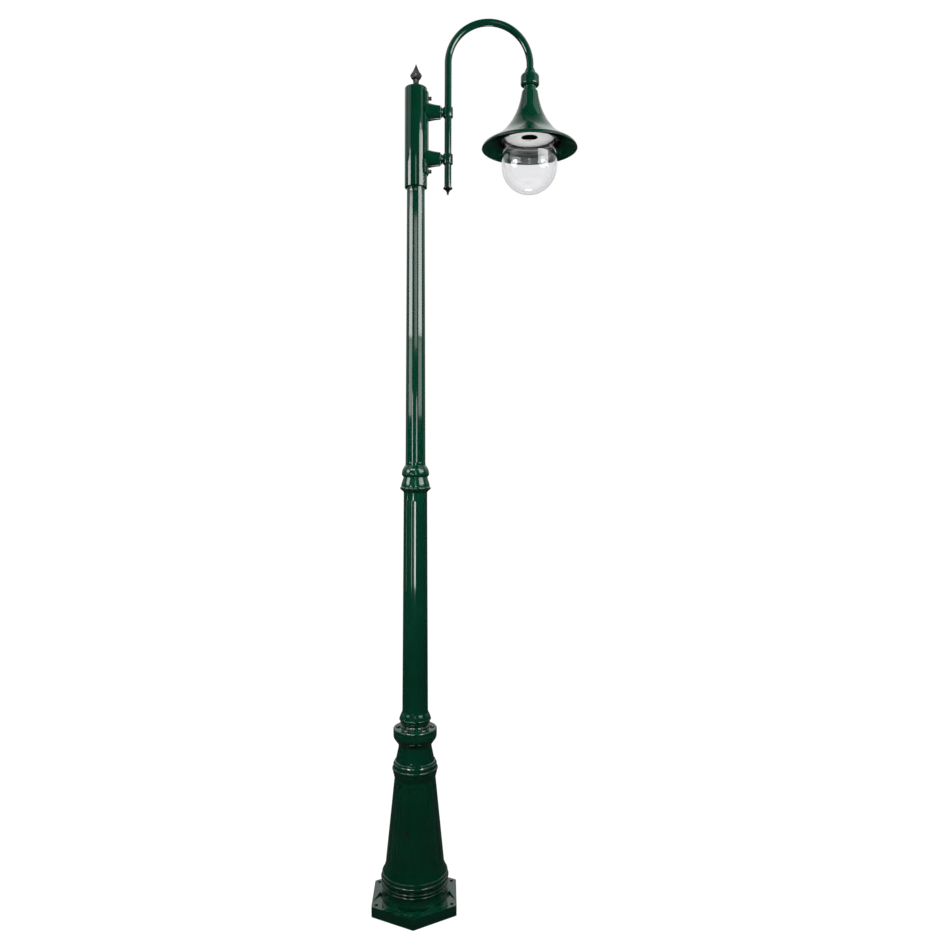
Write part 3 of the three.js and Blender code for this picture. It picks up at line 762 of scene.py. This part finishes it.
def bracket_arm(side):
    """A tapered arm whose root fits the saddle plate, with a socket for the clamp ring's stub."""
    node, z = f"bracket_arm_{side}", ARM_Z[side]
    cone = revolve(node + "_look", soften([
        (0, 20), (30, 20), *bend((29, 32), (23.5, 50), (21, 73), 14),
        *bend((20.9, 75.4), (20.6, 77), (18, 77), 4), (5.3, 77), (5.3, 61), (0, 61),
    ], 0.4, False), 112)
    along_x(cone, (0, 0, z))
    settle(carve(cone, [rod("saddle", 40.5, z - 50, z + 50, 160)]), node)


def clamp_ring(side):
    """The ring round the arm tube, and the stub that joins it to the bracket's arm."""
    node, z = f"clamp_ring_{side}", ARM_Z[side]
    outline = [(11.3, z - 15), (15.5, z - 15), (15.5, z + 15), (11.3, z + 15)]
    ring = turned(node + "_look", outline, 80, 1.5, (TUBE_X, 0))
    stub = along_x(revolve("stub", soften([
        (0, 62), (4.5, 62), (5, 62.6), (5, 77.3), (16.5, 77.3), (16.5, 79.5),
        *bend((15, 80.4), (13.4, 81.5), (13, 84), 5), (13, 97), (0, 97),
    ], 0.5, False), 80), (0, 0, z))
    carve(stub, [rod("ring_wall", 13.4, z - 40, z + 40, 96, (TUBE_X, 0))])
    settle(join(node + "_look", [ring, stub]), node)


def clamp_screw(side):
    node = f"clamp_screw_{side}"
    socket, angles = facets(6)
    outline = [(0, 11.4), (2.35, 11.4), (2.35, 15.8), (2.0, 16.1), (1.4, 16.1), (1.4, 14.4), (0, 14.2)]
    screw = revolve(node + "_look", outline, angles=angles, shape=on_rows(socket, 4, 5))
    screw.data.transform(Matrix.Rotation(-math.pi / 2, 4, "X"))
    settle(shifted(screw, TUBE_X, 0, ARM_Z[side]), node)


def saddle_bolt(side):
    """A hexagon-headed bolt through the saddle plate, and its washer."""
    node, seat = f"saddle_bolt_{side}", 41.9
    flats, angles = facets(6, 30, 0.995)
    outline = [
        (0, 28.9), (2.6, 28.9), (3, 29.4), (3, seat), (5.2, seat), (5.8, seat + 0.3), (5.8, seat + 6),
        (5.1, seat + 6.8), (0, seat + 6.8),
    ]
    bolt = revolve(node + "_look", outline, angles=angles, shape=on_rows(flats, 5, 6))
    settle(along_x(bolt, (0, 0, BOLT_Z[side])), node)
    washer = turned("washer_look_" + side, [(3.3, 40.3), (6.6, 40.3), (6.6, 41.6), (3.3, 41.6)], 56, 0.25)
    settle(along_x(washer, (0, 0, BOLT_Z[side])), f"saddle_washer_{side}")


def top_finial():
    """A four-sided spear point on a turned foot, whose shank goes down into the sleeve."""
    square = facets(4, 0, 0.975)[0]
    offsets = (-0.1, -0.05, 0, 0.05, 0.1, 0.3, 0.55, TAU / 8, 1.02, 1.27)
    angles = sorted({round(k * TAU / 4 + d, 6) % TAU for k in range(4) for d in offsets})
    spear = revolve("spear", soften([
        (0, 2605.5), (9, 2605.5), (9, 2612), (10.6, 2617), (14.1, 2620), (16.1, 2624), (19, 2630),
        (16.1, 2636), *bend((11.2, 2642), (6, 2651), (0, 2667), 12),
    ], 0.7, False), angles=angles, shape=square)
    foot_piece = revolve("finial_foot", soften([
        (0, 2571.5), (4, 2571.5), (4, 2593.3), (15, 2593.3), (15, 2596),
        *bend((13.5, 2598), (8, 2600), (7, 2606.5), 10), (0, 2606.5),
    ], 0.6, False), 72)
    settle(join("top_finial_look", [spear, foot_piece]), "top_finial")


def hex_nut(node, bore, r, z0, z1, at=(0, 0)):
    flats, angles = facets(6, 0, 0.99)
    outline = [(bore, z0), (r * 0.93, z0), (r, z0 + 0.6), (r, z1 - 0.6), (r * 0.93, z1), (bore, z1)]
    settle(revolve(node + "_look", outline, angles=angles, at=at, shape=on_rows(flats, 2, 3)), node)


# ---------------------------------------------------------------- swan neck

TUBE_R, TUBE_BORE_R = 11, 8.5
BEND_Z = 2670


def swan_neck():
    """A tube up from the clamp rings, over in a half circle and down to the lamp."""
    radius, middle = (LAMP_X - TUBE_X) / 2, (LAMP_X + TUBE_X) / 2
    path = [(TUBE_X, z, 0.0) for z in np.linspace(2287.3, BEND_Z, 6)]
    for a in np.linspace(0, math.pi, 73)[1:]:
        path.append((middle - radius * math.cos(a), BEND_Z + radius * math.sin(a), a))
    path.append((LAMP_X, 2643, math.pi))
    cols, points = 56, []
    for r, way in ((TUBE_R, path), (TUBE_BORE_R, path[::-1])):
        for x, z, a in way:
            for k in range(cols):
                across, side = r * math.cos(k * TAU / cols), r * math.sin(k * TAU / cols)
                points.append((x + across * math.cos(a), side, z - across * math.sin(a)))
    settle(make_object("swan_neck_look", points, grid_faces(2 * len(path), cols, True)), "swan_neck")


def lower_finial():
    settle(revolve("lower_finial_look", soften([
        (0, 2264.8), *arc(0, 2268.4, 3.6, -80, 42, 12), (3.9, 2272),
        *bend((4, 2272.5), (6, 2279), (13, 2282.8), 10), (14.5, 2283.6), (14.5, 2287), (8.2, 2287),
        (8.2, 2305), (0, 2305),
    ], 0.5, False), 72, at=(TUBE_X, 0)), "lower_finial")


# ---------------------------------------------------------------- lamp head

LAMP = (LAMP_X, 0)
RIM_Z, DISC_Z = 2411, 2446
STRAP_Z = DISC_Z + 1.8
SCREW_X = 92


def couplings():
    """The nut, the ball and the neck between the tube and the shade."""
    settle(turned("coupling_nut_look", [
        (11.3, 2647.4), (16.6, 2647.4), (16.6, 2651), (14, 2655.5), (14, 2658), (11.3, 2658),
    ], 80, 0.6, LAMP), "coupling_nut")
    settle(turned("ball_coupling_look", [
        (5.3, 2604.3), (21.2, 2604.3), *arc(21.2, 2612.3, 8, -80, 0, 10), *arc(16, 2631, 13.1, 0, 80, 14),
        (17, 2647.1), (11.3, 2647.1), (11.3, 2639), (15, 2639), (23.5, 2632), (23.5, 2613), (20, 2609),
        (5.3, 2609),
    ], 96, 0.5, LAMP), "ball_coupling")
    settle(turned("shade_neck_look", [
        (5.3, 2591.3), (19.6, 2591.3), (19.6, 2595), (18.8, 2597), (18.8, 2602), (20, 2604), (5.3, 2604),
    ], 96, 0.5, LAMP), "shade_neck")


def catmull(knots, steps):
    """A smooth curve through the knots, with its direction at each point."""
    knots = [np.array(k, float) for k in knots]
    out = []
    for i in range(steps + 1):
        place = i / steps * (len(knots) - 1)
        k = min(int(place), len(knots) - 2)
        t = place - k
        p1, p2 = knots[k], knots[k + 1]
        p0 = knots[k - 1] if k else p1
        p3 = knots[k + 2] if k + 2 < len(knots) else p2
        v0, v1 = (p2 - p0) / 2, (p3 - p1) / 2
        a, b = 2 * p1 - 2 * p2 + v0 + v1, -3 * p1 + 3 * p2 - 2 * v0 - v1
        out.append((a * t ** 3 + b * t ** 2 + v0 * t + p1, 3 * a * t ** 2 + 2 * b * t + v0))
    return out


def shade():
    """The bell: its outer curve, and an inner one that is a wall's thickness inside it."""
    wall, crown = 2, 2589
    outer, inner = [], []
    for point, way in catmull([
        (25, 2588), (28.3, 2570), (33.2, 2550), (40, 2530), (49.5, 2510), (61.6, 2490), (85.6, 2461),
        (114.5, 2439), (135, 2427), (146, 2419.5), (150, RIM_Z),
    ], 56):
        way = way / np.linalg.norm(way)
        outer.append((point[0], point[1]))
        inner.insert(0, (point[0] + way[1] * wall, point[1] - way[0] * wall))
    inner[0] = (148, RIM_Z)
    settle(turned("shade_look", [
        (5.3, 2591), (20.5, 2591), (23.6, 2590.4), *outer, *inner, (21.5, crown), (5.3, crown),
    ], 144, 0.7, LAMP), "shade")


THREAD_PITCH, THREAD_DEPTH = 3.6, 0.35
SHELL_GAUGE = 0.35


def lampholder():
    """The nipple through the shade's crown, its two nuts, and the lampholder with its shell and contact."""
    settle(turned("nipple_look", [(3.4, 2497), (5, 2497), (5, 2617), (3.4, 2617)], 40, 0.3, LAMP), "nipple")
    hex_nut("nipple_nut_upper", bore=5.4, r=9.5, z0=2609.4, z1=2614.4, at=LAMP)
    hex_nut("nipple_nut_lower", bore=5.4, r=9.5, z0=2583.4, z1=2588.6, at=LAMP)
    settle(turned("lampholder_body_look", [
        (5.3, 2505), (17, 2505), (21, 2501), (22.5, 2494), (24, 2490), (24, 2480), (23.4, 2479), (24, 2478),
        (24, 2463), (14.6, 2463), (14.6, 2491), (5.3, 2491),
    ], 72, 0.7, LAMP), "lampholder_body")

    def thread(a, r, z, row):
        return r + THREAD_DEPTH * math.sin(TAU * z / THREAD_PITCH + a)

    wall = [(13.85, z) for z in np.linspace(2466.2, 2487.8, 37)]
    outline = [*wall, *((r - SHELL_GAUGE, z) for r, z in reversed(wall))]
    settle(revolve("lampholder_shell_look", outline, 48, at=LAMP, shape=thread), "lampholder_shell")
    strip = [(-2.5, 2482.5), (12, 2482.5), (12, 2490.7), (10.6, 2490.7), (10.6, 2484), (-2.5, 2484)]
    contact = loft("lampholder_contact_look", [[(x, y, z) for x, z in strip] for y in (-2.5, 2.5)])
    settle(shifted(carve(contact, [], 0.25, 2), LAMP_X, 0, 0), "lampholder_contact")


def lampholder_bracket():
    """A bent strap that carries the lampholder and the reflector disc."""
    low, gauge = STRAP_Z, 1.5
    half = [(0, 2513), (25, 2513), (31, 2470), (40, low + gauge), (94, low + gauge)]
    back = [(94, low), (39, low), (29.5, 2470), (23.7, 2513 - gauge), (0, 2513 - gauge)]
    outline = half + back + [(-x, z) for x, z in reversed(half + back)][1:-1]
    strap = loft("lampholder_bracket_look", [[(x, y, z) for x, z in outline] for y in (-7, 7)])
    holes = [rod("nipple_hole", 5.3, 2505, 2520, 40)]
    holes += [rod("screw_hole", 2.3, low - 2, low + 4, 32, (x, 0)) for x in (-SCREW_X, SCREW_X)]
    settle(shifted(carve(strap, holes, 0.35, 2), LAMP_X, 0, 0), "lampholder_bracket")


def gallery():
    """The ring that holds the globe, the white disc over it, the gasket and the two screws."""
    settle(turned("gallery_ring_look", [
        (85.8, 2433), (88, 2433), (88, 2443.7), (97.6, 2443.7), (97.6, 2427), (99.4, 2427), (99.4, 2445.7),
        (85.8, 2445.7),
    ], 144, 0.6, LAMP), "gallery_ring")
    settle(turned("reflector_disc_look", [
        (26, DISC_Z), (95, DISC_Z), (95, DISC_Z + 1.5), (26, DISC_Z + 1.5),
    ], 120, 0.5, LAMP), "reflector_disc")
    settle(turned("globe_gasket_look", [
        (77.5, 2441.4), (84.5, 2441.4), (84.5, 2445.3), (77.5, 2445.3),
    ], 120, 1.0, LAMP), "globe_gasket")
    for side, x in (("left", -SCREW_X), ("right", SCREW_X)):
        node = f"gallery_screw_{side}"
        screw = button_head(node + "_look", r=3.4, height=2.6, shank=2, length=6.2, socket_r=1.3)
        screw.data.transform(Matrix.Rotation(math.pi, 4, "X"))
        settle(shifted(screw, LAMP_X + x, 0, DISC_Z - 2.6), node)


BOWL_Z, BOWL_R, BOWL_BORE_R = 2359, 87, 84


def globe():
    """A round-bottomed glass with a beaded neck. It throws no shadow, so light reaches what is inside."""
    outer = [
        (0, BOWL_Z - BOWL_R), *arc(0, BOWL_Z, BOWL_R, -88, 0, 44),
        *bend((BOWL_R, 2386), (BOWL_R, 2398), (82.5, RIM_Z), 12),
    ]
    neck = [(82.5, 2433.6), *arc(82.7, 2436.3, 1.7, -60, 60, 6), (82.5, 2439), (82.5, 2441), (79.5, 2441)]
    inner = [
        *bend((79.5, RIM_Z), (BOWL_BORE_R, 2398), (BOWL_BORE_R, 2386), 12),
        *arc(0, BOWL_Z, BOWL_BORE_R, 0, -88, 44), (0, BOWL_Z - BOWL_BORE_R),
    ]
    eased_neck = soften([outer[-1], *neck, inner[0]], 0.9, False)[1:-1]
    glass = revolve("globe_look", outer + eased_neck + inner, 128, at=LAMP)
    glass.visible_shadow = False
    settle(glass, "globe")


BLOCK_Y = 53
WELLS_X = (-7, 7)


def terminal_block():
    """A two-way terminal block on the strap, with a slotted screw down each of its wells."""
    low, high = STRAP_Z, DISC_Z + 14
    outline = [
        (-14, low), (14, low), (14, low + 7), (12.4, low + 7.6), (12.4, high), (2, high), (1.4, high - 3),
        (-1.4, high - 3), (-2, high), (-12.4, high), (-12.4, low + 7.6), (-14, low + 7),
    ]
    block = loft("terminal_block_look", [[(x, y, z) for x, z in outline] for y in (BLOCK_Y - 7, BLOCK_Y + 7)])
    wells = [rod("well", 2.8, DISC_Z + 8, DISC_Z + 16, 32, (x, BLOCK_Y)) for x in WELLS_X]
    settle(shifted(carve(block, wells, 0.5, 2), LAMP_X, 0, 0), "terminal_block")
    foot_z, top_z, slot_z = DISC_Z + 8.4, DISC_Z + 13, DISC_Z + 12
    for i, x in enumerate(WELLS_X):
        node = f"terminal_screw_{i + 1}"
        outline = [(0, foot_z), (2.5, foot_z), (2.5, top_z - 0.6), (2.1, top_z), (0, top_z)]
        screw = revolve(node + "_look", outline, 40, at=(x, BLOCK_Y))
        section = [(x - 0.35, slot_z), (x + 0.35, slot_z), (x + 0.35, slot_z + 3), (x - 0.35, slot_z + 3)]
        slot = loft("slot", [[(u, y, z) for u, z in section] for y in (BLOCK_Y - 4, BLOCK_Y + 4)])
        settle(shifted(carve(screw, [slot]), LAMP_X, 0, 0), node)


# ---------------------------------------------------------------- build

make_camera()
make_world()
make_floor()
make_lights()
bpy.context.scene.view_settings.view_transform = "Standard"

base_casting()
base_plug()
lower_post()
mid_collar()
upper_post()
grub_screw("collar_grub_lower", LOWER_GRUB_Z, inner=27.2, outer=34.2)
grub_screw("collar_grub_upper", UPPER_GRUB_Z, inner=22.2, outer=28.8)
foot_screws()
bracket_sleeve()
saddle_plate()
top_finial()
hex_nut("finial_nut", bore=4.4, r=7.5, z0=2573.7, z1=2580.2)
for where in ("upper", "lower"):
    bracket_arm(where)
    clamp_ring(where)
    clamp_screw(where)
    saddle_bolt(where)
swan_neck()
lower_finial()
couplings()
shade()
lampholder()
lampholder_bracket()
gallery()
globe()
terminal_block()
